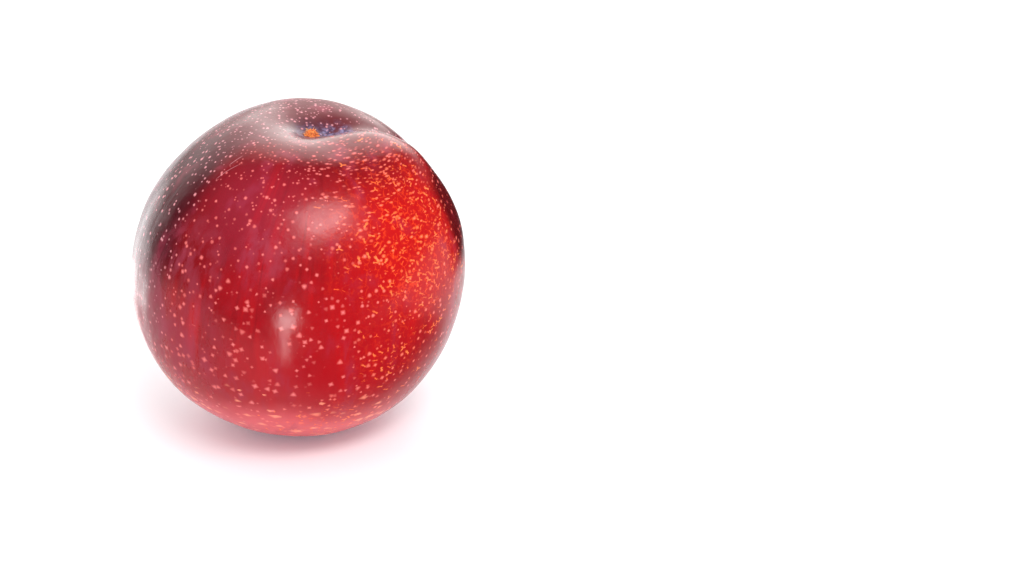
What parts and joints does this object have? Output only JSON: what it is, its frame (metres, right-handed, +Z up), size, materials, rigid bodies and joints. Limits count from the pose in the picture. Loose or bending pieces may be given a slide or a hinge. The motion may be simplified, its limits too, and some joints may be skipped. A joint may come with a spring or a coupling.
{
  "type": "plum",
  "caption": "Whole ripe red plum, near-round with a stem cavity, a soft suture valley and a small flat spot that it rests on.",
  "frame": {"origin": "on the resting plane, under the middle of the fruit's box", "axes": "+Z up, the shortest way through the fruit as it lies; +X towards the side that the suture valley faces; the stem end points up, leaning a few degrees to +X and -Y"},
  "size_m": [0.0658, 0.0656, 0.063],
  "materials": {
    "plum_skin": "smooth waxy fruit skin, crimson with a darker shoulder and pale lenticel spots"
  },
  "bodies": {
    "root": {"plum": "plum_skin"}
  },
  "joints": []
}
